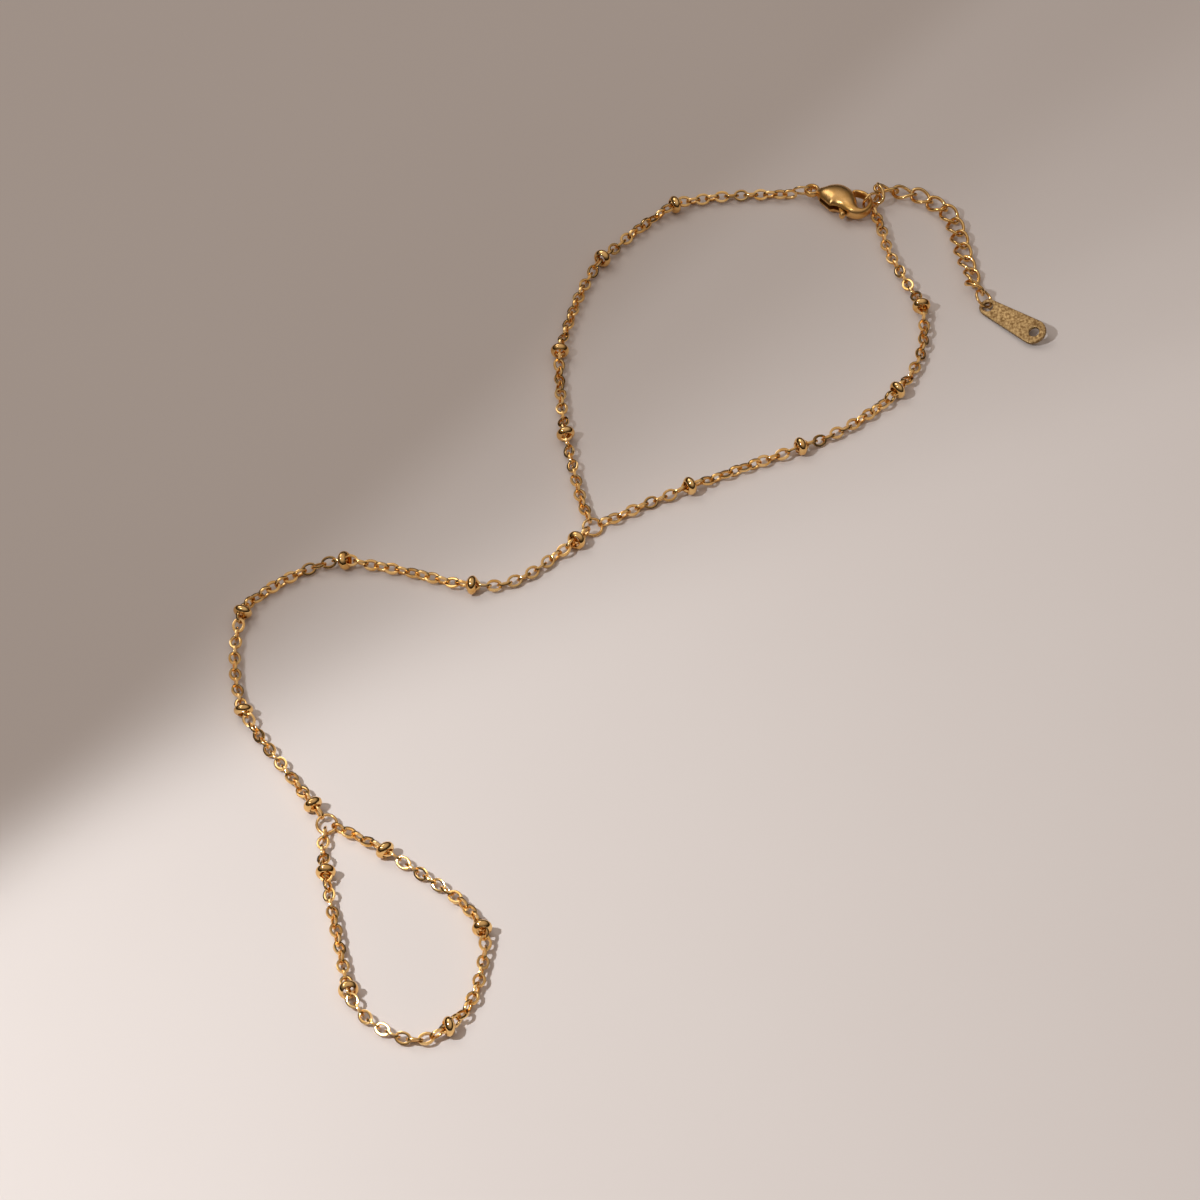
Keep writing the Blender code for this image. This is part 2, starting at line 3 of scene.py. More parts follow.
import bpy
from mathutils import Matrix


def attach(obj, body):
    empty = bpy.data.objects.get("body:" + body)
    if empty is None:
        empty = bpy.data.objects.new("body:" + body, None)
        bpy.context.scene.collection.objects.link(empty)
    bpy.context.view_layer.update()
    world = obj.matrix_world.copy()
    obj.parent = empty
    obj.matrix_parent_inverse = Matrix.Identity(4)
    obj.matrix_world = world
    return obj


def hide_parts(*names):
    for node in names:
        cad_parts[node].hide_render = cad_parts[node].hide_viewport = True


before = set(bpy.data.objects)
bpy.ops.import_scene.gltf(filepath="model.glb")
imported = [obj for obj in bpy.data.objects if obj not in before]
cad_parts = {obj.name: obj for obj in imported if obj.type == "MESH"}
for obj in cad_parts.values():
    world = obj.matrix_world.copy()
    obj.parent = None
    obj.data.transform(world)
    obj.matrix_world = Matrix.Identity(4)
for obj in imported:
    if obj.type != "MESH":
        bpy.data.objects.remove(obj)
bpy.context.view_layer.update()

import math
import random

import bmesh
import bpy
from mathutils import Matrix, Vector

MM = 0.001

# The middle of the laid chain on the floor, in the plane of the routes below
LAY_CENTRE = Vector((6.30, 2.83, 0.0)) * MM

# The photograph's view: where it stands over the origin of the routes, which it looks at
CAMERA_PLACE = Vector((0.0, -396.9, 425.6)) * MM
CAMERA_LENS = 144
CAMERA_SENSOR = 36
CAMERA_NEAR = 0.01

# A wire's section goes from round to nearly square-cornered as this grows from 2
ROUND = 2.0
ROUND_SIDES = 14
WIRE_CREASE = math.radians(42)

# Fine chain: outer size of one link, its flat-faced wire, and the space from link to link
FINE_LENGTH = 2.02 * MM
FINE_WIDTH = 1.56 * MM
FINE_WIRE_WIDE = 0.34 * MM
FINE_WIRE_THICK = 0.33 * MM
FINE_PITCH = 1.3 * MM
FINE_FLOOR_GAP = 0.01 * MM
FINE_STATIONS = 22
FINE_SIDES = 12
FINE_SQUARENESS = 5

# A fine link takes its heading from the route this far before and after its middle
FINE_REACH = FINE_LENGTH * 0.3

# How the fine links roll, in degrees: their lean to the front where the strand runs level, a slow
# wave along the strand, and each link's own chance share. The wave's step from link to link is in
# radians, and the ends stay true over a few links.
FINE_LEAN = 20.0
FINE_WANDER = 24.0
FINE_CHANCE = 16
FINE_WAVE_STEP = 0.35
FINE_END_LINKS = 2
FINE_SEED = 11

# Rondelle beads. The strand runs straight for a way beside the middle of each, at its height, and
# then comes down over its ramp.
BEAD_DIAMETER = 2.35 * MM
BEAD_LENGTH = 1.16 * MM
BEAD_BORE = 1.36 * MM
BEAD_LIP = 0.06 * MM
BEAD_LIP_SHARES = (0.25, 0.5, 0.75, 1.0)
BEAD_STEPS = 40
BEAD_ARC_STEPS = 16
BEAD_CREASE = math.radians(60)
BEAD_STRAIGHT = 0.775 * MM
BEAD_RAMP = 2.4 * MM

# Jump rings and links, as in the part but for the links' twist, which is a little less
RING_STATIONS = 56
LINK_STATIONS = 48
JUNCTION_RING_DIAMETER = 2.7 * MM
JUNCTION_RING_WIRE = 0.36 * MM
JUNCTION_RING_HEIGHT = 0.6 * MM
CATCH_RING_DIAMETER = 2.9 * MM
CATCH_RING_WIRE = 0.36 * MM
TAG_RING_DIAMETER = 2.9 * MM
TAG_RING_WIRE = 0.38 * MM
RING_SEAM = 0.035 * MM
END_LINK_LENGTH = 2.6 * MM
END_LINK_WIDTH = 2.1 * MM
END_LINK_WIRE = 0.34 * MM
END_LINK_REACH = 1.25 * MM
END_LINK_HEADING = Vector((-1.0, 0.02, 0.0)).normalized()
END_LINK_LEAN = Vector((0, 1, 0.35))
LINK_LENGTH = 3.5 * MM
LINK_WIDTH = 2.6 * MM
LINK_WIRE = 0.45 * MM
LINK_TWIST = math.radians(-41)

# Lobster clasp, as in the part but for the claw's lower half: a flatness of 1 would leave it round,
# and less makes it fuller. The tip closes over the given shares of its half width.
CLASP_LENGTH = 9.6 * MM
CLASP_WIDTH = 4.3 * MM
CLASP_THICKNESS = 2.8 * MM
CLASP_TURN = math.radians(-24)
CLASP_SIDES = 36
CLASP_FLATNESS = 0.6
CLASP_STEPS = 5
CLASP_CREASE = math.radians(38)
TIP_SHARES = (0.35, 0.65, 0.88, 0.98)
TIP_THICKNESS = 0.25
EYE_DIAMETER = 2.1 * MM
EYE_WIRE = 0.54 * MM
EYE_HEIGHT = 0.86 * MM
EYE_STATIONS = 48
EYE_SIDES = 18
EYE_SQUARENESS = 2.3
LEVER_THICKNESS = 0.42 * MM
LEVER_SIDE_GAP = 0.115 * MM
LEVER_EDGE = 0.07 * MM
LEVER_STEPS = 4
LEVER_HOLE_SIDES = 24
LEVER_CREASE = math.radians(40)
PIN_DIAMETER = 0.5 * MM
PIN_CLEARANCE = 0.12 * MM
PIN_SIDES = 28
PIN_DEPTH = CLASP_THICKNESS * 0.75
KNOB_DIAMETER = 0.84 * MM
KNOB_THICKNESS = 1.2 * MM
KNOB_SIDES = 24
KNOB_RINGS = 16

# Tag, as in the part
TAG_LENGTH = 10.3 * MM
TAG_NARROW_WIDTH = 2.3 * MM
TAG_WIDE_WIDTH = 3.4 * MM
TAG_THICKNESS = 0.45 * MM
TAG_SMALL_HOLE = 1.35 * MM
TAG_LARGE_HOLE = 1.35 * MM
TAG_NARROW_RIM = 0.48 * MM
TAG_WIDE_RIM = 0.85 * MM
TAG_EDGE = 0.08 * MM
TAG_STEPS = 28
TAG_HOLE_SIDES = 32
TAG_CREASE = math.radians(35)

# Steps round the soft edge of a flat plate
PLATE_EDGE_STEPS = 3

# Vertices nearer than this are one, in a curve's surface and after a Boolean
CURVE_MERGE = 0.002 * MM
CARVE_MERGE = 0.0005 * MM

# Places on the floor, in millimetres
CLASP_EYE_PLACE = (27.83, 72.2)
WRIST_JUNCTION_PLACE = (-0.9, 11.7)
FINGER_JUNCTION_PLACE = (-31.7, -36.1)

# The junction rings: their places and the way that each one faces
JUNCTION_RINGS = {
    "wrist_junction_ring": (WRIST_JUNCTION_PLACE, Vector((0.1, -0.25, 1))),
    "finger_junction_ring": (FINGER_JUNCTION_PLACE, Vector((-0.1, -0.3, 1))),
}

# Where each ring's seam is on its round, in degrees
RING_SEAM_TURNS = {
    "wrist_junction_ring": 200, "finger_junction_ring": 20, "catch_ring": 250, "tag_ring": 130,
}

# The chosen points of each strand on the floor: x and y in millimetres, and 1 where a bead sits
ROUTES = {
    "wrist_chain_left": (
        (18.5, 71.9, 0), (13.7, 71.2, 0), (9.8, 69.7, 1), (5.6, 66.0, 0), (0.3, 59.4, 1),
        (-2.3, 53.8, 0), (-4.2, 46.8, 0), (-5.1, 42.2, 1), (-5.1, 37.1, 0), (-4.7, 31.0, 0),
        (-4.3, 27.3, 1), (-3.3, 21.5, 0), (-2.2, 15.6, 0),
    ),
    "wrist_chain_right": (
        (2.5, 13.4, 0), (5.5, 15.3, 0), (11.1, 18.2, 1), (15.0, 20.3, 0), (20.5, 23.0, 0),
        (25.0, 25.1, 1), (28.9, 27.4, 0), (32.9, 30.4, 0), (37.5, 35.1, 1), (40.2, 40.3, 0),
        (41.3, 45.3, 0), (41.2, 50.5, 1), (39.3, 55.9, 0), (37.5, 61.0, 0), (36.7, 65.4, 0),
    ),
    "hand_chain": (
        (-2.9, 8.9, 1), (-5.5, 6.5, 0), (-9.2, 3.1, 0), (-12.5, 1.7, 0), (-15.5, 1.4, 1),
        (-18.5, 2.3, 0), (-22.6, 3.7, 0), (-27.5, 5.0, 0), (-31.1, 5.5, 1), (-34.5, 4.9, 0),
        (-38.6, 2.3, 0), (-41.9, -0.8, 0), (-43.1, -3.0, 1), (-43.7, -7.2, 0), (-43.6, -12.0, 0),
        (-42.9, -16.5, 0), (-42.2, -18.9, 1), (-39.8, -23.3, 0), (-35.4, -30.2, 0),
        (-33.4, -33.6, 1),
    ),
    "finger_chain": (
        (-28.0, -38.2, 0), (-24.8, -40.5, 1), (-21.0, -43.4, 0), (-15.9, -47.9, 0),
        (-13.4, -52.1, 1), (-13.1, -55.6, 0), (-14.2, -61.6, 0), (-16.9, -66.2, 1),
        (-20.8, -67.8, 0), (-25.0, -65.8, 0), (-27.4, -63.0, 0), (-28.3, -61.0, 1),
        (-29.6, -54.3, 0), (-30.6, -49.1, 0), (-31.5, -43.8, 1), (-32.0, -40.0, 0),
    ),
}

# How each bead sits askew on its strand, in the strand's order: turn on the floor and lean, in
# degrees
BEAD_TILTS = {
    "wrist_chain_left": ((-8, 4), (0, 15), (5, 2), (8, -3)),
    "wrist_chain_right": ((1, -4), (-2, -3), (-13, 3), (0, -3)),
    "hand_chain": ((13, 22), (-4, -6), (-16, -28), (-2, -19), (-19, -23), (0, -13)),
    "finger_chain": ((-16, -8), (-11, 7), (-30, 7), (0, -22), (-5, -5)),
}

# Where the catch ring hangs in the clasp, as shares of its length and width: along, across
CATCH_PLACE = (0.8323, 0.2749)

# Where the loose pieces after the clasp lie: x and y from the catch ring's middle and z over the
# floor, in millimetres, then the heading on the floor, the rise and the roll of the long axis in
# degrees
LAID_POSES = {
    "catch_ring": (0.00, 0.00, 1.41, 28, -13, -96),
    "extender_link_1": (0.94, 1.51, 1.37, 88, 9, -68),
    "extender_link_2": (2.01, 2.74, 1.07, -10, -2, -33),
    "extender_link_3": (4.38, 2.30, 0.89, -10, -3, -8),
    "extender_link_4": (6.64, 1.47, 0.85, -33, -6, 0),
    "extender_link_5": (8.54, -0.07, 0.81, -42, 2, 4),
    "extender_link_6": (10.07, -1.94, 0.84, -63, -8, 5),
    "extender_link_7": (10.75, -4.27, 0.79, -80, 1, 1),
    "extender_link_8": (11.17, -6.69, 0.84, -82, 1, -3),
    "extender_link_9": (11.49, -9.13, 0.89, -82, 1, -6),
    "extender_link_10": (11.92, -11.55, 0.92, -76, 2, -20),
    "extender_link_11": (12.38, -13.95, 1.01, -88, 2, -34),
    "extender_link_12": (12.72, -16.18, 1.34, -53, 7, -46),
    "tag_ring": (13.72, -18.06, 1.04, 91, 8, 37),
    "tag": (14.21, -19.30, 0.65, -43, 4, 22),
}

# The claw's sections from the eye to the hook's tip, as shares of the clasp's length, width and
# thickness: along, across, half width, half thickness
CLAW_SECTIONS = (
    (0.089, 0.000, 0.116, 0.179),
    (0.130, 0.000, 0.198, 0.286),
    (0.195, -0.007, 0.316, 0.400),
    (0.271, 0.005, 0.430, 0.471),
    (0.354, 0.010, 0.505, 0.500),
    (0.448, -0.035, 0.465, 0.486),
    (0.542, -0.155, 0.342, 0.436),
    (0.620, -0.295, 0.242, 0.380),
    (0.698, -0.378, 0.178, 0.333),
    (0.771, -0.356, 0.128, 0.285),
    (0.825, -0.233, 0.098, 0.250),
    (0.846, -0.047, 0.093, 0.236),
    (0.833, 0.151, 0.088, 0.236),
    (0.776, 0.337, 0.084, 0.236),
    (0.688, 0.437, 0.079, 0.236),
    (0.599, 0.442, 0.072, 0.229),
    (0.552, 0.400, 0.065, 0.214),
)

# Outline of the slot for the lever, as shares of the clasp's length and width: along, across
SLOT_OUTLINE = (
    (0.169, -0.081), (0.156, -0.558), (0.609, -0.744), (0.604, -0.349), (0.596, -0.140),
    (0.646, 0.070), (0.536, 0.360), (0.521, 0.605), (0.323, 0.605), (0.302, 0.209), (0.229, 0.070),
)

# Outline of the lever, from its gate round to its thumb knob and back: along, across
LEVER_OUTLINE = (
    (0.365, 0.233), (0.396, 0.337), (0.438, 0.386), (0.479, 0.395), (0.526, 0.349), (0.544, 0.302),
    (0.534, 0.249), (0.505, 0.174), (0.472, 0.070), (0.464, -0.023), (0.479, -0.186),
    (0.531, -0.407), (0.569, -0.560), (0.571, -0.652), (0.534, -0.665), (0.503, -0.550),
    (0.463, -0.380), (0.411, -0.198), (0.359, -0.105), (0.349, 0.047),
)
PIVOT_PLACE = (0.406, -0.023)
KNOB_PLACE = (0.564, -0.655)

# Gold plate by kind of piece: the material's name, its bright and deep colour, its roughness and
# how much more its rubbed patches have, the strength of its marks, and the scales of its clouds and
# marks
GOLDS = {
    "chain": ("chain_gold", (1.0, 0.69, 0.31), (0.82, 0.47, 0.14), 0.11, 0.08, 0.12, 900.0, 9000.0),
    "bead": ("bead_gold", (0.98, 0.66, 0.28), (0.82, 0.47, 0.15), 0.07, 0.06, 0.15, 900.0, 9000.0),
    "ring": ("ring_gold", (1.0, 0.69, 0.31), (0.82, 0.47, 0.15), 0.08, 0.08, 0.12, 900.0, 9000.0),
    "link": ("link_gold", (0.98, 0.67, 0.29), (0.76, 0.43, 0.12), 0.09, 0.1, 0.12, 900.0, 9000.0),
    "clasp": ("clasp_gold", (0.92, 0.57, 0.22), (0.68, 0.37, 0.09), 0.27, 0.14, 0.4, 500.0, 9000.0),
    # The tag's bright and deep colours are its gold darkened to paint the dim reflection of the
    # room on its face: painted shade in the base colour.
    "tag": ("tag_gold_painted_dim_reflection", (0.46, 0.31, 0.14), (0.2, 0.11, 0.04), 0.34, 0.12, 0.9,
            3200.0, 11000.0),
}
CLOUD_DETAIL = 3
CLOUD_RANGE = (0.35, 0.65)
MARK_DETAIL = 4
MARK_STRETCH = (1.0, 0.22, 1.0)
MARK_DEPTH = 0.02 * MM

# Floor of pale card, with its half size in metres
FLOOR_HALF = 3.0
FLOOR_SHADES = ((0.74, 0.665, 0.615, 1), (0.78, 0.71, 0.66, 1))
FLOOR_ROUGHNESS = 0.62
FLOOR_SPECULAR = 0.3
MOTTLE_SCALE = 14
MOTTLE_DETAIL = 4

# The key light is several lamps at one place, each cut off by its own cone. Their edges fan out
# from the first aim to the last, so the light's edge grows softer across the floor. The places and
# sizes of the lamps are in metres, and their power is in watts.
KEY_SHARES = 4
KEY_PLACE = Vector((-0.216, -0.115, 0.291))
KEY_FIRST_AIM = Vector((0.8145, -0.5605, 0.1497))
KEY_LAST_AIM = Vector((0.5593, -0.8265, -0.0645))
KEY_POWER = 3.65
KEY_COLOUR = (0.93, 0.975, 1.03)
KEY_CONE = math.radians(170)
KEY_FIRST_BLEND = 0.013
KEY_BLEND = 0.05
KEY_RADIUS = 0.006

# A large soft lamp behind the chain, on the left
SOFT_BOX_PLACE = Vector((-0.45, 0.45, 0.75))
SOFT_BOX_SIZE = 0.5
SOFT_BOX_POWER = 1.2
SOFT_BOX_COLOUR = (1.0, 0.97, 0.94)

# The room that the gold mirrors: its colours from straight below at 0 to straight above at 1
ROOM_STOPS = (
    (0.0, (0.01, 0.007, 0.005)), (0.3, (0.04, 0.032, 0.026)), (0.5, (0.17, 0.147, 0.133)),
    (0.75, (0.48, 0.42, 0.385)), (1.0, (0.65, 0.572, 0.525)),
)
ROOM_STRENGTH = 0.92


# Materials

def new_group(name, inputs, outputs):
    """An empty shader node group with named sockets."""
    group = bpy.data.node_groups.new(name, "ShaderNodeTree")
    for socket, kind, value in inputs:
        made = group.interface.new_socket(socket, in_out="INPUT", socket_type=kind)
        made.default_value = value
    for socket, kind in outputs:
        group.interface.new_socket(socket, in_out="OUTPUT", socket_type=kind)
    return group


def add_node(tree, kind, **settings):
    node = tree.nodes.new(kind)
    for key, value in settings.items():
        setattr(node, key, value)
    return node


def make_plating_group():
    """Gold plate: slow shade changes, fine polish marks and rubbed patches."""
    group = new_group(
        "gold_plating",
        (("Bright Gold", "NodeSocketColor", (0.9, 0.6, 0.25, 1)),
         ("Deep Gold", "NodeSocketColor", (0.7, 0.4, 0.12, 1)),
         ("Cloud Scale", "NodeSocketFloat", 900.0),
         ("Mark Scale", "NodeSocketFloat", 9000.0),
         ("Polish", "NodeSocketFloat", 0.16),
         ("Dullness", "NodeSocketFloat", 0.12)),
        (("Colour", "NodeSocketColor"), ("Roughness", "NodeSocketFloat"),
         ("Marks", "NodeSocketFloat")))
    links = group.links
    given = add_node(group, "NodeGroupInput")
    out = add_node(group, "NodeGroupOutput")
    place = add_node(group, "ShaderNodeTexCoord")
    cloud = add_node(group, "ShaderNodeTexNoise")
    cloud.inputs["Detail"].default_value = CLOUD_DETAIL
    marks = add_node(group, "ShaderNodeTexNoise")
    marks.inputs["Detail"].default_value = MARK_DETAIL
    links.new(place.outputs["Object"], cloud.inputs["Vector"])
    links.new(given.outputs["Cloud Scale"], cloud.inputs["Scale"])
    stretch = add_node(group, "ShaderNodeVectorMath", operation="MULTIPLY")
    stretch.inputs[1].default_value = MARK_STRETCH
    links.new(place.outputs["Object"], stretch.inputs[0])
    links.new(stretch.outputs["Vector"], marks.inputs["Vector"])
    links.new(given.outputs["Mark Scale"], marks.inputs["Scale"])
    spread = add_node(group, "ShaderNodeMapRange")
    spread.inputs["From Min"].default_value = CLOUD_RANGE[0]
    spread.inputs["From Max"].default_value = CLOUD_RANGE[1]
    links.new(cloud.outputs["Fac"], spread.inputs["Value"])
    tint = add_node(group, "ShaderNodeMix", data_type="RGBA")
    links.new(spread.outputs["Result"], tint.inputs["Factor"])
    links.new(given.outputs["Bright Gold"], tint.inputs["A"])
    links.new(given.outputs["Deep Gold"], tint.inputs["B"])
    dull = add_node(group, "ShaderNodeMath", operation="MULTIPLY")
    links.new(spread.outputs["Result"], dull.inputs[0])
    links.new(given.outputs["Dullness"], dull.inputs[1])
    rough = add_node(group, "ShaderNodeMath", operation="ADD")
    links.new(dull.outputs["Value"], rough.inputs[0])
    links.new(given.outputs["Polish"], rough.inputs[1])
    links.new(tint.outputs["Result"], out.inputs["Colour"])
    links.new(rough.outputs["Value"], out.inputs["Roughness"])
    links.new(marks.outputs["Fac"], out.inputs["Marks"])
    return group


def make_gold(plating, name, bright, deep, polish, dullness, bump, cloud, marks):
    """Gold plate on one kind of piece, with its own values in the plating group."""
    material = bpy.data.materials.new(name)
    material.use_nodes = True
    tree = material.node_tree
    shader = tree.nodes["Principled BSDF"]
    shader.inputs["Metallic"].default_value = 1.0
    finish = add_node(tree, "ShaderNodeGroup", node_tree=plating)
    finish.inputs["Bright Gold"].default_value = (*bright, 1)
    finish.inputs["Deep Gold"].default_value = (*deep, 1)
    finish.inputs["Cloud Scale"].default_value = cloud
    finish.inputs["Mark Scale"].default_value = marks
    finish.inputs["Polish"].default_value = polish
    finish.inputs["Dullness"].default_value = dullness
    relief = add_node(tree, "ShaderNodeBump")
    relief.inputs["Strength"].default_value = bump
    relief.inputs["Distance"].default_value = MARK_DEPTH
    tree.links.new(finish.outputs["Colour"], shader.inputs["Base Color"])
    tree.links.new(finish.outputs["Roughness"], shader.inputs["Roughness"])
    tree.links.new(finish.outputs["Marks"], relief.inputs["Height"])
    tree.links.new(relief.outputs["Normal"], shader.inputs["Normal"])
    material.diffuse_color = (*bright, 1)
    return material


def make_floor_material():
    """Smooth pale card with a faint warm mottle."""
    material = bpy.data.materials.new("pale_card")
    material.use_nodes = True
    tree = material.node_tree
    shader = tree.nodes["Principled BSDF"]
    shader.inputs["Roughness"].default_value = FLOOR_ROUGHNESS
    shader.inputs["Specular IOR Level"].default_value = FLOOR_SPECULAR
    place = add_node(tree, "ShaderNodeTexCoord")
    mottle = add_node(tree, "ShaderNodeTexNoise")
    mottle.inputs["Scale"].default_value = MOTTLE_SCALE
    mottle.inputs["Detail"].default_value = MOTTLE_DETAIL
    shades = add_node(tree, "ShaderNodeMix", data_type="RGBA")
    shades.inputs["A"].default_value = FLOOR_SHADES[0]
    shades.inputs["B"].default_value = FLOOR_SHADES[1]
    tree.links.new(place.outputs["Object"], mottle.inputs["Vector"])
    tree.links.new(mottle.outputs["Fac"], shades.inputs["Factor"])
    tree.links.new(shades.outputs["Result"], shader.inputs["Base Color"])
    return material


# Shapes and frames

class Route:
    """A smooth curve on the floor through chosen points, measured along its length."""

    STEPS = 12

    def __init__(self, rows):
        anchors = [Vector((row[0] * MM, row[1] * MM, 0)) for row in rows]
        before = anchors[0] * 2 - anchors[1]
        after = anchors[-1] * 2 - anchors[-2]
        line = [before] + anchors + [after]
        self.points = []
        for i in range(1, len(line) - 2):
            for step in range(self.STEPS):
                self.points.append(self.between(line[i - 1:i + 3], step / self.STEPS))
        self.points.append(anchors[-1])
        self.lengths = [0.0]
        for last, point in zip(self.points, self.points[1:]):
            self.lengths.append(self.lengths[-1] + (point - last).length)
        self.total = self.lengths[-1]

    @staticmethod
    def between(four, t):
        """The Catmull-Rom curve between the middle two of four points."""
        p0, p1, p2, p3 = four
        straight = p2 - p0
        bend = p0 * 2 - p1 * 5 + p2 * 4 - p3
        swing = p1 * 3 - p0 - p2 * 3 + p3
        return p1 + (straight * t + bend * t ** 2 + swing * t ** 3) * 0.5

    def anchor_distance(self, index):
        return self.lengths[index * self.STEPS]

    def at(self, distance):
        """The point at a distance along the route, carried on straight past its ends."""
        index = 0
        while index < len(self.lengths) - 2 and self.lengths[index + 1] < distance:
            index += 1
        span = self.lengths[index + 1] - self.lengths[index]
        share = (distance - self.lengths[index]) / span
        return self.points[index].lerp(self.points[index + 1], share)


def turn_frame(place, heading, rise, roll):
    """A frame at a place with X along a heading that rises, and rolled about X, in radians."""
    turn = Matrix.Rotation(heading, 4, "Z") @ Matrix.Rotation(-rise, 4, "Y")
    return Matrix.Translation(place) @ turn @ Matrix.Rotation(roll, 4, "X")


def laid_frame(name):
    x, y, z, heading, rise, roll = LAID_POSES[name]
    place = clasp_frame() @ clasp_point(*CATCH_PLACE) + Vector((x, y, 0)) * MM
    place.z = z * MM
    return turn_frame(place, math.radians(heading), math.radians(rise), math.radians(roll))


def floor_place(place, height):
    return Vector((place[0] * MM, place[1] * MM, height)) - LAY_CENTRE


def circle_points(radius, count):
    return [(radius * math.cos(2 * math.pi * i / count), radius * math.sin(2 * math.pi * i / count))
            for i in range(count)]


def oval_line(length, width, wire, stations, twist=0.0):
    """Centre line of an oval link along X, twisted about X."""
    rows = []
    for i in range(stations):
        angle = 2 * math.pi * i / stations
        turn = twist * math.cos(angle)
        across = Vector((0, math.cos(turn), math.sin(turn)))
        along = Vector((1, 0, 0))
        point = along * (length - wire) / 2 * math.cos(angle)
        point += across * (width - wire) / 2 * math.sin(angle)
        rows.append(point)
    return rows


def wire_section(half_wide, half_thick, sides, squareness):
    """Points round a wire's section."""
    section = []
    for i in range(sides):
        angle = 2 * math.pi * (i + 0.5) / sides
        c, s = math.cos(angle), math.sin(angle)
        reach = (abs(c) ** squareness + abs(s) ** squareness) ** (-1 / squareness)
        section.append((half_wide * c * reach, half_thick * s * reach))
    return section


def join_rings(model, low, high):
    """Faces all round between two rings of as many vertices."""
    for j in range(len(low)):
        k = (j + 1) % len(low)
        model.faces.new((low[j], low[k], high[k], high[j]))


def add_wire_loop(model, matrix, line, section, closed=True):
    """Sweep a wire section along a centre line round the origin, its first axis turned outward."""
    count = len(line)
    rings = []
    for i, point in enumerate(line):
        last = line[i - 1] if closed or i > 0 else point
        following = line[(i + 1) % count] if closed or i < count - 1 else point
        tangent = (following - last).normalized()
        outward = (point - tangent * point.dot(tangent)).normalized()
        side = tangent.cross(outward)
        rings.append([model.verts.new(matrix @ (point + outward * a + side * b))
                      for a, b in section])
    for i in range(count if closed else count - 1):
        join_rings(model, rings[i], rings[(i + 1) % count])
    if not closed:
        model.faces.new(rings[0])
        model.faces.new(rings[-1])


def finish_mesh(model, name, crease=WIRE_CREASE):
    """Turn a bmesh into a mesh with outward faces, smooth but for its sharp edges."""
    bmesh.ops.recalc_face_normals(model, faces=model.faces)
    mesh = bpy.data.meshes.new(name)
    model.to_mesh(mesh)
    model.free()
    mesh.shade_smooth()
    mesh.set_sharp_from_angle(angle=crease)
    return mesh


def place_piece(name, mesh, material, replaced, matrix=Matrix(), body="root"):
    """Put a finished piece in the scene at its place, with its material, under its body, and hide
    the parts that it replaces.
    """
    mesh.transform(matrix)
    mesh.materials.append(material)
    piece = bpy.data.objects.new(name, mesh)
    bpy.context.scene.collection.objects.link(piece)
    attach(piece, body)
    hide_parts(*replaced)


# Fine chain and beads

def strand_height(distance, bead_distances):
    """Height of a strand's axis: links on the floor, lifted to the axis of each bead."""
    nearest = min(abs(distance - bead) for bead in bead_distances) - BEAD_STRAIGHT
    share = min(max(nearest / BEAD_RAMP, 0.0), 1.0)
    fall = share * share * (3 - 2 * share)
    return BEAD_DIAMETER / 2 * (1 - fall) + (FINE_WIDTH / 2 + FINE_FLOOR_GAP) * fall


def strand_ends():
    """The two end places of each strand and how far its last link's middle stays from each."""
    end_link = clasp_frame().translation + LAY_CENTRE + END_LINK_HEADING * END_LINK_REACH
    catch = (laid_frame("catch_ring").translation + LAY_CENTRE) / MM
    hold = FINE_LENGTH / 2 - FINE_WIRE_WIDE
    ring_hold = (JUNCTION_RING_DIAMETER - JUNCTION_RING_WIRE) / 2 + hold - JUNCTION_RING_WIRE / 2
    link_hold = (END_LINK_LENGTH - END_LINK_WIRE) / 2 + hold - END_LINK_WIRE / 2
    catch_hold = (CATCH_RING_DIAMETER - CATCH_RING_WIRE) / 2
    return {
        "wrist_chain_left": (tuple(end_link.xy / MM), WRIST_JUNCTION_PLACE, link_hold, ring_hold),
        "wrist_chain_right": (WRIST_JUNCTION_PLACE, tuple(catch.xy), ring_hold, catch_hold),
        "hand_chain": (WRIST_JUNCTION_PLACE, FINGER_JUNCTION_PLACE, ring_hold, ring_hold),
        "finger_chain": (FINGER_JUNCTION_PLACE, FINGER_JUNCTION_PLACE, ring_hold, ring_hold),
    }


def link_roll(i, count, heading, start, rng):
    """Roll of one link: upright and flat in turn, and leaning to the front in a level strand."""
    loose = 1 - math.exp(-min(i, count - 1 - i) / FINE_END_LINKS)
    wander = FINE_WANDER * math.sin(start + FINE_WAVE_STEP * i)
    wander += rng.uniform(-FINE_CHANCE, FINE_CHANCE)
    upright = 90 if i % 2 == 0 else 0
    return math.radians(upright + (FINE_LEAN * math.cos(heading) + wander) * loose)


def way_at(route, distance):
    """The way that a link takes on the floor, over its reach before and after its middle."""
    return route.at(distance + FINE_REACH) - route.at(distance - FINE_REACH)


def bead_frames(name, route, beads):
    """The frame of each bead on a strand, askew as in the photograph."""
    frames = []
    for distance, (turn, lean) in zip(beads, BEAD_TILTS[name]):
        place = route.at(distance)
        place.z = BEAD_DIAMETER / 2
        ahead = way_at(route, distance)
        heading = math.atan2(ahead.y, ahead.x) + math.radians(turn)
        frames.append(turn_frame(place - LAY_CENTRE, heading, math.radians(lean), 0))
    return frames


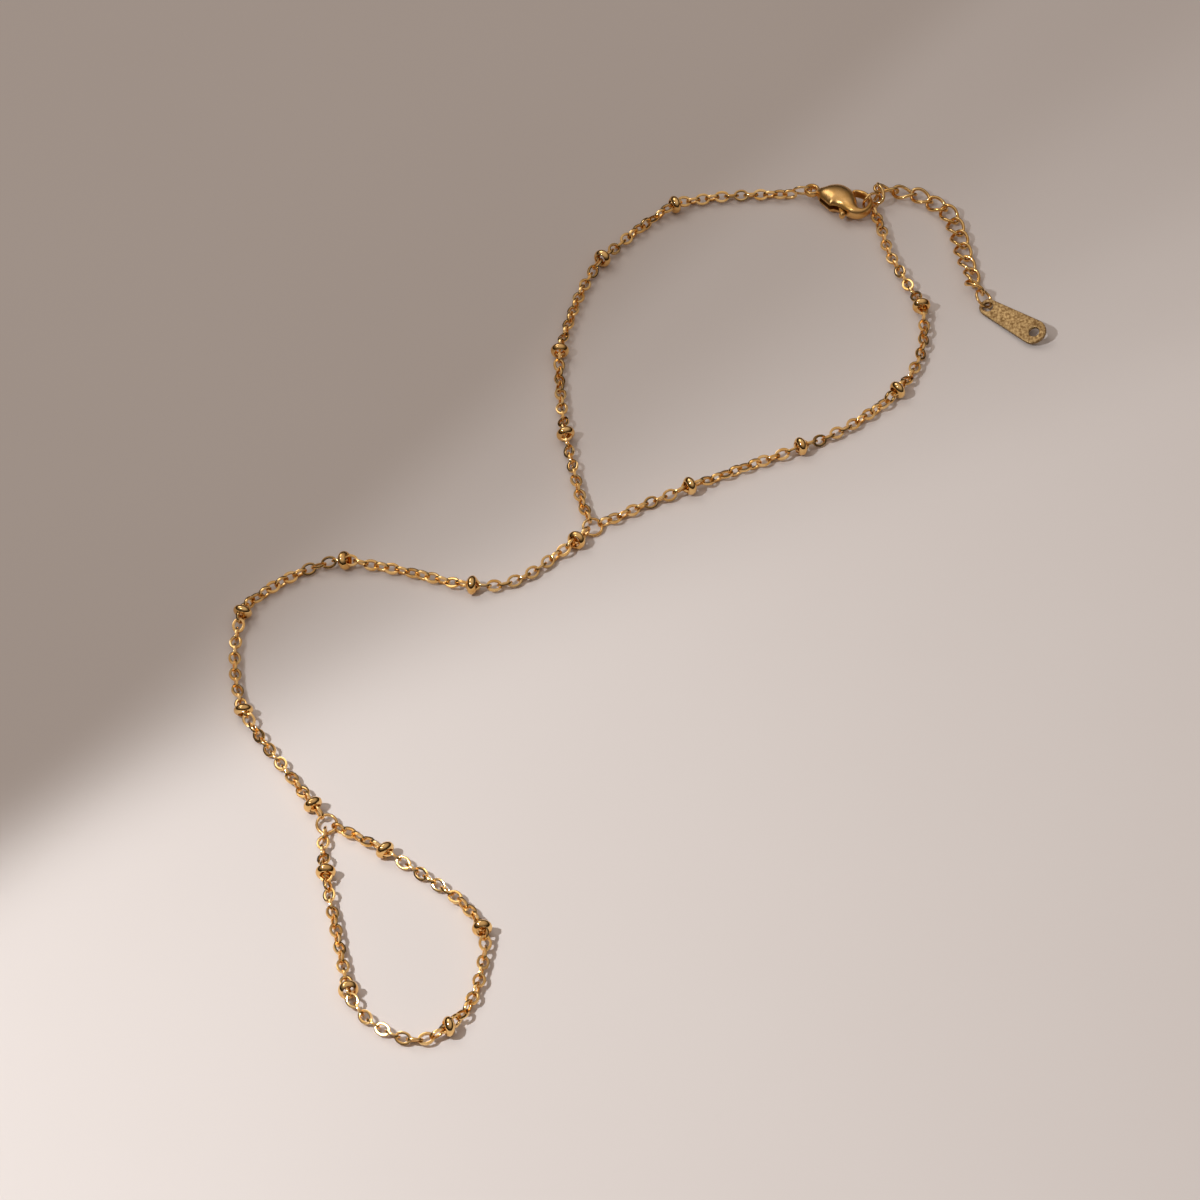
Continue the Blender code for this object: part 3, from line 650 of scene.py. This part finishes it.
def build_strand(name, rows, ends, gold, rng):
    """One strand as its real links, each through the next, and the frames of its beads."""
    first, last, first_hold, last_hold = ends
    rows = ((*first, 0), *rows, (*last, 0))
    route = Route(rows)
    beads = [route.anchor_distance(i) for i, row in enumerate(rows) if row[2]]
    span = route.total - first_hold - last_hold
    count = 2 * round(span / FINE_PITCH / 2) + 1
    pitch = span / (count - 1)
    line = oval_line(FINE_LENGTH, FINE_WIDTH, FINE_WIRE_WIDE, FINE_STATIONS)
    section = wire_section(FINE_WIRE_WIDE / 2, FINE_WIRE_THICK / 2, FINE_SIDES, FINE_SQUARENESS)
    model = bmesh.new()
    start = rng.uniform(0, 2 * math.pi)
    for i in range(count):
        distance = first_hold + i * pitch
        place = route.at(distance)
        place.z = strand_height(distance, beads)
        rise = strand_height(distance + FINE_REACH, beads)
        rise -= strand_height(distance - FINE_REACH, beads)
        ahead = way_at(route, distance)
        heading = math.atan2(ahead.y, ahead.x)
        roll = link_roll(i, count, heading, start, rng)
        matrix = turn_frame(place - LAY_CENTRE, heading, math.atan2(rise, ahead.length), roll)
        add_wire_loop(model, matrix, line, section)
    place_piece(name + "_links", finish_mesh(model, name + "_links"), gold, replaced=(name,))
    return bead_frames(name, route, beads)


def bead_profile():
    """Half section of a rondelle bead: a flattened ball with a wide bore and a rolled lip."""
    bore = BEAD_BORE / 2
    outer = BEAD_DIAMETER / 2
    edge = bore + BEAD_LIP
    half = BEAD_LENGTH / 2 / math.sqrt(1 - (edge / outer) ** 2)
    first = math.asin(BEAD_LENGTH / 2 / half)
    outside = []
    for i in range(BEAD_ARC_STEPS + 1):
        angle = first - 2 * first * i / BEAD_ARC_STEPS
        outside.append((outer * math.cos(angle), half * math.sin(angle)))
    lip = []
    for share in BEAD_LIP_SHARES:
        turn = math.pi / 2 * share
        lip.append((edge - BEAD_LIP * math.sin(turn),
                    -BEAD_LENGTH / 2 + BEAD_LIP * (1 - math.cos(turn))))
    return outside + lip + [(bore, 0.0)] + [(r, -z) for r, z in reversed(lip)]


def make_bead_mesh():
    model = bmesh.new()
    profile = bead_profile()
    rings = []
    for i in range(BEAD_STEPS):
        angle = 2 * math.pi * i / BEAD_STEPS
        c, s = math.cos(angle), math.sin(angle)
        rings.append([model.verts.new((z, r * c, r * s)) for r, z in profile])
    for i in range(BEAD_STEPS):
        join_rings(model, rings[i], rings[(i + 1) % BEAD_STEPS])
    return finish_mesh(model, "rondelle_bead", BEAD_CREASE)


def build_chains(golds):
    rng = random.Random(FINE_SEED)
    ends = strand_ends()
    bead_mesh = make_bead_mesh()
    counts = {}
    for name, rows in ROUTES.items():
        family = name.split("_")[0]
        for matrix in build_strand(name, rows, ends[name], golds["chain"], rng):
            counts[family] = counts.get(family, 0) + 1
            node = f"{family}_bead_{counts[family]}"
            place_piece(node + "_turned", bead_mesh.copy(), golds["bead"], replaced=(node,),
                        matrix=matrix)


# Rings and links

def build_ring(node, diameter, wire, matrix, gold):
    """A jump ring of round wire with the fine seam where its ends meet."""
    model = bmesh.new()
    radius = (diameter - wire) / 2
    seam = RING_SEAM / radius
    first = math.radians(RING_SEAM_TURNS[node]) + seam / 2
    line = []
    for i in range(RING_STATIONS + 1):
        angle = first + (2 * math.pi - seam) * i / RING_STATIONS
        line.append(Vector((radius * math.cos(angle), radius * math.sin(angle), 0)))
    section = wire_section(wire / 2, wire / 2, ROUND_SIDES, ROUND)
    add_wire_loop(model, matrix, line, section, closed=False)
    place_piece(node + "_wire", finish_mesh(model, node + "_wire"), gold, replaced=(node,))


def build_link(node, sizes, matrix, gold, twist=0.0):
    """A closed oval link of round wire."""
    length, width, wire = sizes
    model = bmesh.new()
    line = oval_line(length, width, wire, LINK_STATIONS, twist)
    add_wire_loop(model, matrix, line, wire_section(wire / 2, wire / 2, ROUND_SIDES, ROUND))
    place_piece(node + "_wire", finish_mesh(model, node + "_wire"), gold, replaced=(node,))


def ring_frame(centre, normal):
    return Matrix.Translation(centre) @ normal.to_track_quat("Z", "Y").to_matrix().to_4x4()


def end_link_frame():
    centre = clasp_frame().translation + END_LINK_HEADING * END_LINK_REACH
    y_axis = END_LINK_LEAN.cross(END_LINK_HEADING).normalized()
    z_axis = END_LINK_HEADING.cross(y_axis)
    turn = Matrix((END_LINK_HEADING, y_axis, z_axis)).transposed().to_4x4()
    return Matrix.Translation(centre) @ turn


def build_rings(golds):
    for node, (place, normal) in JUNCTION_RINGS.items():
        build_ring(node, JUNCTION_RING_DIAMETER, JUNCTION_RING_WIRE,
                   ring_frame(floor_place(place, JUNCTION_RING_HEIGHT), normal), golds["ring"])
    build_ring("catch_ring", CATCH_RING_DIAMETER, CATCH_RING_WIRE, laid_frame("catch_ring"),
               golds["ring"])
    build_ring("tag_ring", TAG_RING_DIAMETER, TAG_RING_WIRE, laid_frame("tag_ring"), golds["ring"])
    for name in LAID_POSES:
        if name.startswith("extender_link"):
            build_link(name, (LINK_LENGTH, LINK_WIDTH, LINK_WIRE), laid_frame(name), golds["link"],
                       LINK_TWIST)
    build_link("clasp_end_link", (END_LINK_LENGTH, END_LINK_WIDTH, END_LINK_WIRE),
               end_link_frame(), golds["ring"])


# Clasp

def clasp_frame():
    turn = Matrix.Rotation(CLASP_TURN, 4, "Z")
    return Matrix.Translation(floor_place(CLASP_EYE_PLACE, CLASP_THICKNESS / 2)) @ turn


def clasp_point(along, across):
    return Vector((along * CLASP_LENGTH, across * CLASP_WIDTH, 0))


def smooth_rows(rows, steps):
    """Rows of numbers with smooth rows put in between."""
    line = [rows[0]] + list(rows) + [rows[-1]]
    result = []
    for i in range(1, len(line) - 2):
        four = [Vector(line[k]) for k in (i - 1, i, i + 1, i + 2)]
        for step in range(steps):
            result.append(Route.between(four, step / steps))
    result.append(Vector(rows[-1]))
    return result


def claw_model():
    """The swept claw with a rounded hook tip."""
    rows = smooth_rows(CLAW_SECTIONS, CLASP_STEPS)
    scaled = [(clasp_point(r[0], r[1]), r[2] * CLASP_WIDTH, r[3] * CLASP_THICKNESS) for r in rows]
    tip, ahead = scaled[-1], (scaled[-1][0] - scaled[-2][0]).normalized()
    for share in TIP_SHARES:
        shrink = math.sqrt(1 - share ** 2)
        thinner = TIP_THICKNESS + (1 - TIP_THICKNESS) * shrink
        scaled.append((tip[0] + ahead * tip[1] * share, tip[1] * shrink, tip[2] * thinner))
    model = bmesh.new()
    rings = []
    for i, (centre, half_width, half_thickness) in enumerate(scaled):
        last = scaled[max(i - 1, 0)][0]
        following = scaled[min(i + 1, len(scaled) - 1)][0]
        direction = (following - last).normalized()
        side = Vector((-direction.y, direction.x, 0))
        ring = []
        for j in range(CLASP_SIDES):
            angle = 2 * math.pi * (j + 0.5) / CLASP_SIDES
            offset = side * half_width * math.cos(angle)
            height = math.sin(angle)
            offset.z = half_thickness * (height if height > 0 else -abs(height) ** CLASP_FLATNESS)
            ring.append(model.verts.new(centre + offset))
        rings.append(ring)
    for low, high in zip(rings, rings[1:]):
        join_rings(model, low, high)
    model.faces.new(rings[0])
    model.faces.new(rings[-1])
    bmesh.ops.recalc_face_normals(model, faces=model.faces)
    return model


def plate_curve(name, outline, half_thickness, edge=0.0, holes=()):
    """A 2D curve for a flat plate with a soft edge: its outline and its round holes."""
    curve = bpy.data.curves.new(name, "CURVE")
    curve.dimensions = "2D"
    curve.fill_mode = "BOTH"
    curve.extrude = half_thickness - edge
    curve.bevel_depth = edge
    curve.bevel_resolution = PLATE_EDGE_STEPS
    curve.offset = -edge
    loops = [outline]
    for centre, diameter, sides in holes:
        loops.append([(centre.x + x, centre.y + y) for x, y in circle_points(diameter / 2, sides)])
    for loop in loops:
        spline = curve.splines.new("POLY")
        spline.points.add(len(loop) - 1)
        spline.use_cyclic_u = True
        for target, point in zip(spline.points, loop):
            target.co = (point[0], point[1], 0, 1)
    return curve


def curve_model(curve):
    """A bmesh of a curve's closed surface."""
    holder = bpy.data.objects.new(curve.name, curve)
    bpy.context.scene.collection.objects.link(holder)
    bpy.context.view_layer.update()
    evaluated = holder.evaluated_get(bpy.context.evaluated_depsgraph_get())
    mesh = bpy.data.meshes.new_from_object(evaluated)
    bpy.data.objects.remove(holder, do_unlink=True)
    model = bmesh.new()
    model.from_mesh(mesh)
    bmesh.ops.remove_doubles(model, verts=model.verts, dist=CURVE_MERGE)
    return model


def round_loop(rows, steps):
    """A closed outline through chosen points, rounded between them."""
    points = [Vector((row[0], row[1], 0)) for row in rows]
    count = len(points)
    result = []
    for i in range(count):
        four = [points[(i + k) % count] for k in (-1, 0, 1, 2)]
        for step in range(steps):
            result.append(Route.between(four, step / steps))
    return result


def temporary(name, model, matrix=Matrix()):
    mesh = bpy.data.meshes.new(name)
    model.to_mesh(mesh)
    model.free()
    piece = bpy.data.objects.new(name, mesh)
    piece.matrix_world = matrix
    bpy.context.scene.collection.objects.link(piece)
    return piece


def carve(base, steps):
    """Join and cut a piece by exact Booleans, and take back its mesh."""
    for other, operation in steps:
        modifier = base.modifiers.new(operation.lower(), "BOOLEAN")
        modifier.operation = operation
        modifier.solver = "EXACT"
        modifier.use_self = True
        modifier.object = other
    bpy.context.view_layer.update()
    evaluated = base.evaluated_get(bpy.context.evaluated_depsgraph_get())
    mesh = bpy.data.meshes.new_from_object(evaluated)
    for piece in [base] + [other for other, _ in steps]:
        bpy.data.objects.remove(piece, do_unlink=True)
    model = bmesh.new()
    model.from_mesh(mesh)
    bmesh.ops.remove_doubles(model, verts=model.verts, dist=CARVE_MERGE)
    return model


def build_clasp_body(gold):
    slot_half = LEVER_THICKNESS / 2 + LEVER_SIDE_GAP
    outline = [clasp_point(*row) for row in SLOT_OUTLINE]
    slot = temporary("slot", curve_model(plate_curve("slot", outline, slot_half)))
    pin_model = bmesh.new()
    bmesh.ops.create_cone(pin_model, cap_ends=True, segments=PIN_SIDES, radius1=PIN_DIAMETER / 2,
                          radius2=PIN_DIAMETER / 2, depth=PIN_DEPTH)
    pin = temporary("pin", pin_model, Matrix.Translation(clasp_point(*PIVOT_PLACE)))
    eye_model = bmesh.new()
    radius = (EYE_DIAMETER - EYE_WIRE) / 2
    line = [Vector((x, y, 0)) for x, y in circle_points(radius, EYE_STATIONS)]
    section = wire_section(EYE_WIRE / 2, EYE_HEIGHT / 2, EYE_SIDES, EYE_SQUARENESS)
    add_wire_loop(eye_model, Matrix(), line, section)
    bmesh.ops.recalc_face_normals(eye_model, faces=eye_model.faces)
    eye = temporary("eye", eye_model)
    model = carve(temporary("claw", claw_model()),
                  ((slot, "DIFFERENCE"), (pin, "UNION"), (eye, "UNION")))
    mesh = finish_mesh(model, "clasp_shell", CLASP_CREASE)
    place_piece("clasp_shell", mesh, gold, replaced=("clasp_body",), matrix=clasp_frame())


def build_clasp_lever(gold):
    pivot = clasp_point(*PIVOT_PLACE)
    outline = [clasp_point(p.x, p.y) - pivot for p in round_loop(LEVER_OUTLINE, LEVER_STEPS)]
    hole = (Vector((0, 0)), PIN_DIAMETER + 2 * PIN_CLEARANCE, LEVER_HOLE_SIDES)
    curve = plate_curve("plate", outline, LEVER_THICKNESS / 2, LEVER_EDGE, (hole,))
    plate = temporary("plate", curve_model(curve))
    knob_model = bmesh.new()
    bmesh.ops.create_uvsphere(knob_model, u_segments=KNOB_SIDES, v_segments=KNOB_RINGS,
                              radius=KNOB_DIAMETER / 2)
    stretch = Matrix.Diagonal((1, 1, KNOB_THICKNESS / KNOB_DIAMETER, 1))
    bmesh.ops.transform(knob_model, matrix=stretch, verts=knob_model.verts)
    knob = temporary("knob", knob_model, Matrix.Translation(clasp_point(*KNOB_PLACE) - pivot))
    model = carve(plate, ((knob, "UNION"),))
    mesh = finish_mesh(model, "clasp_trigger", LEVER_CREASE)
    place_piece("clasp_trigger", mesh, gold, replaced=("clasp_lever",),
                matrix=clasp_frame() @ Matrix.Translation(pivot), body="lever")


# Tag

def tag_hole_distance():
    rims = TAG_NARROW_RIM + TAG_WIDE_RIM
    return TAG_LENGTH - rims - TAG_SMALL_HOLE / 2 - TAG_LARGE_HOLE / 2


def tag_outline():
    """Two end arcs of different radius joined by straight sides, from the small hole's centre."""
    narrow = TAG_NARROW_WIDTH / 2
    wide = TAG_WIDE_WIDTH / 2
    narrow_centre = narrow - TAG_NARROW_RIM - TAG_SMALL_HOLE / 2
    wide_centre = tag_hole_distance() + TAG_LARGE_HOLE / 2 + TAG_WIDE_RIM - wide
    lean = math.asin((wide - narrow) / (wide_centre - narrow_centre))
    outline = []
    for centre, radius, start in ((wide_centre, wide, -90), (narrow_centre, narrow, 90)):
        sweep = 180 + math.degrees(lean) * (2 if start < 0 else -2)
        first = start - math.degrees(lean) * (1 if start < 0 else -1)
        for i in range(TAG_STEPS + 1):
            angle = math.radians(first + sweep * i / TAG_STEPS)
            outline.append((centre + radius * math.cos(angle), radius * math.sin(angle)))
    return outline


def build_tag(gold):
    holes = ((Vector((0, 0)), TAG_SMALL_HOLE, TAG_HOLE_SIDES),
             (Vector((tag_hole_distance(), 0)), TAG_LARGE_HOLE, TAG_HOLE_SIDES))
    # The tag's gold has painted shade: its colours are darkened to stand for the dim reflection on
    # its face.
    model = curve_model(plate_curve("tag_plate", tag_outline(), TAG_THICKNESS / 2, TAG_EDGE, holes))
    place_piece("tag_plate", finish_mesh(model, "tag_plate", TAG_CREASE), gold, replaced=("tag",),
                matrix=laid_frame("tag"))


# Stage, camera and light

def place_camera():
    data = bpy.data.cameras.new("view")
    data.lens = CAMERA_LENS
    data.sensor_width = CAMERA_SENSOR
    data.clip_start = CAMERA_NEAR
    camera = bpy.data.objects.new("view", data)
    bpy.context.scene.collection.objects.link(camera)
    camera.location = CAMERA_PLACE - LAY_CENTRE
    camera.rotation_euler = CAMERA_PLACE.to_track_quat("Z", "Y").to_euler()
    bpy.context.scene.camera = camera


def build_floor():
    mesh = bpy.data.meshes.new("floor")
    corners = [(x * FLOOR_HALF, y * FLOOR_HALF, 0) for x, y in ((-1, -1), (1, -1), (1, 1), (-1, 1))]
    mesh.from_pydata(corners, [], [(0, 1, 2, 3)])
    mesh.materials.append(make_floor_material())
    floor = bpy.data.objects.new("floor", mesh)
    bpy.context.scene.collection.objects.link(floor)


def aim(lamp, place, target):
    lamp.location = place
    lamp.rotation_euler = (place - target).to_track_quat("Z", "Y").to_euler()
    bpy.context.scene.collection.objects.link(lamp)


def add_lights():
    """A small key from the left, its edge fanned out across the floor, and a soft box behind."""
    for i in range(KEY_SHARES):
        key = bpy.data.lights.new("key", "SPOT")
        key.energy = KEY_POWER / KEY_SHARES
        key.color = KEY_COLOUR
        key.spot_size = KEY_CONE
        key.spot_blend = KEY_FIRST_BLEND if i == 0 else KEY_BLEND
        key.shadow_soft_size = KEY_RADIUS
        toward = KEY_FIRST_AIM.lerp(KEY_LAST_AIM, i / (KEY_SHARES - 1))
        aim(bpy.data.objects.new("key", key), KEY_PLACE, KEY_PLACE + toward)
    box = bpy.data.lights.new("soft_box", "AREA")
    box.energy = SOFT_BOX_POWER
    box.size = SOFT_BOX_SIZE
    box.color = SOFT_BOX_COLOUR
    aim(bpy.data.objects.new("soft_box", box), SOFT_BOX_PLACE, Vector((0, 0, 0)))


def add_room():
    """A dim warm room, bright overhead and dark at the sides, for the gold to mirror."""
    world = bpy.data.worlds.new("room")
    world.use_nodes = True
    bpy.context.scene.world = world
    tree = world.node_tree
    back = tree.nodes["Background"]
    place = add_node(tree, "ShaderNodeTexCoord")
    parts = add_node(tree, "ShaderNodeSeparateXYZ")
    ramp = add_node(tree, "ShaderNodeValToRGB")
    tree.links.new(place.outputs["Generated"], parts.inputs["Vector"])
    tree.links.new(parts.outputs["Z"], ramp.inputs["Fac"])
    tree.links.new(ramp.outputs["Color"], back.inputs["Color"])
    stops = ramp.color_ramp.elements
    for stop, (position, colour) in zip(stops, (ROOM_STOPS[0], ROOM_STOPS[-1])):
        stop.position = position
        stop.color = (*colour, 1)
    for position, colour in ROOM_STOPS[1:-1]:
        stops.new(position).color = (*colour, 1)
    back.inputs["Strength"].default_value = ROOM_STRENGTH


def build():
    bpy.context.scene.view_settings.view_transform = "Standard"
    place_camera()
    plating = make_plating_group()
    golds = {kind: make_gold(plating, *values) for kind, values in GOLDS.items()}
    build_chains(golds)
    build_rings(golds)
    build_clasp_body(golds["clasp"])
    build_clasp_lever(golds["clasp"])
    build_tag(golds["tag"])
    build_floor()
    add_lights()
    add_room()


build()
